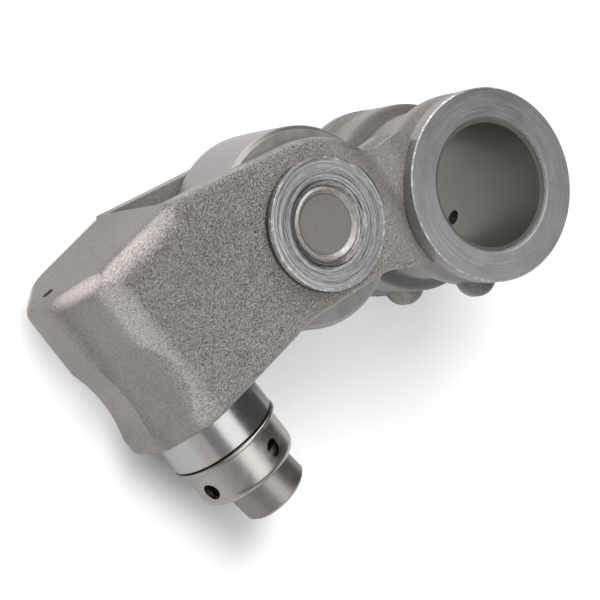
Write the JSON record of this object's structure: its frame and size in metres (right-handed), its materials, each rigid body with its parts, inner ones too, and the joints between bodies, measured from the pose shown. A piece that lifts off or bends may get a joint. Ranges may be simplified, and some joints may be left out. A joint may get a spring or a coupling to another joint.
{
  "type": "roller rocker arm with hydraulic lash piston",
  "caption": "Shaft-mounted rocker arm with a fork-held cam roller, a bushed pivot boss and a lash piston whose stamped cage holds a swivel foot.",
  "frame": {"origin": "centre of the shaft bore, midway between the boss's end faces", "axes": "+Z along the shaft bore, -X towards the valve end, +Y towards the cam that the roller runs on, -Y towards the valve that the foot presses"},
  "size_m": [0.1428, 0.0858, 0.059],
  "materials": {
    "rocker_body": "shot-blasted forging, machined ends",
    "shaft_bush": "bored",
    "cam_roller": "ground",
    "roller_pin": "ground, dull ends",
    "pin_oil_plug": "plain",
    "roller_bush": "bronze, bored",
    "lash_piston": "polished",
    "foot_cage": "stamped sheet, satin",
    "swivel_foot": "polished, hardened",
    "stop_ring": "spring steel",
    "inner_plunger": "ground",
    "plunger_spring": "spring wire",
    "check_ball": "ball, polished",
    "check_ball_spring": "fine spring wire",
    "ball_retainer": "stamped sheet"
  },
  "bodies": {
    "arm": {"rocker_body": "rocker_body", "shaft_bush": "shaft_bush", "roller_pin": "roller_pin", "pin_oil_plug": "pin_oil_plug", "inner_plunger": "inner_plunger", "plunger_spring": "plunger_spring", "ball_retainer": "ball_retainer", "check_ball_spring": "check_ball_spring", "stop_ring": "stop_ring"},
    "roller": {"cam_roller": "cam_roller"},
    "bush": {"roller_bush": "roller_bush"},
    "piston": {"lash_piston": "lash_piston", "foot_cage": "foot_cage"},
    "foot": {"swivel_foot": "swivel_foot"},
    "ball": {"check_ball": "check_ball"}
  },
  "joints": [
    {"name": "roller_spin", "type": "hinge", "parent": "arm", "child": "roller", "pos_m": [-0.0444, 0.0239, 0], "axis": [0, 0, 1], "continuous": true},
    {"name": "bush_spin", "type": "hinge", "parent": "arm", "child": "bush", "pos_m": [-0.0444, 0.0239, 0], "axis": [0, 0, 1], "continuous": true},
    {"name": "lash_slide", "type": "slide", "parent": "arm", "child": "piston", "axis": [0, 1, 0], "range_m": [0, 0.0045], "stiffness_N_per_m": 1500, "springref_m": -0.006, "deforming": ["plunger_spring"]},
    {"name": "foot_tilt", "type": "hinge", "parent": "piston", "child": "foot", "pos_m": [-0.096, -0.0095, 0], "axis": [0, 0, 1], "range_deg": [-15.5, 0.5]},
    {"name": "ball_lift", "type": "slide", "parent": "arm", "child": "ball", "axis": [0, -1, 0], "range_m": [0, 0.0008], "stiffness_N_per_m": 20, "springref_m": -0.0005, "deforming": ["check_ball_spring"]}
  ]
}
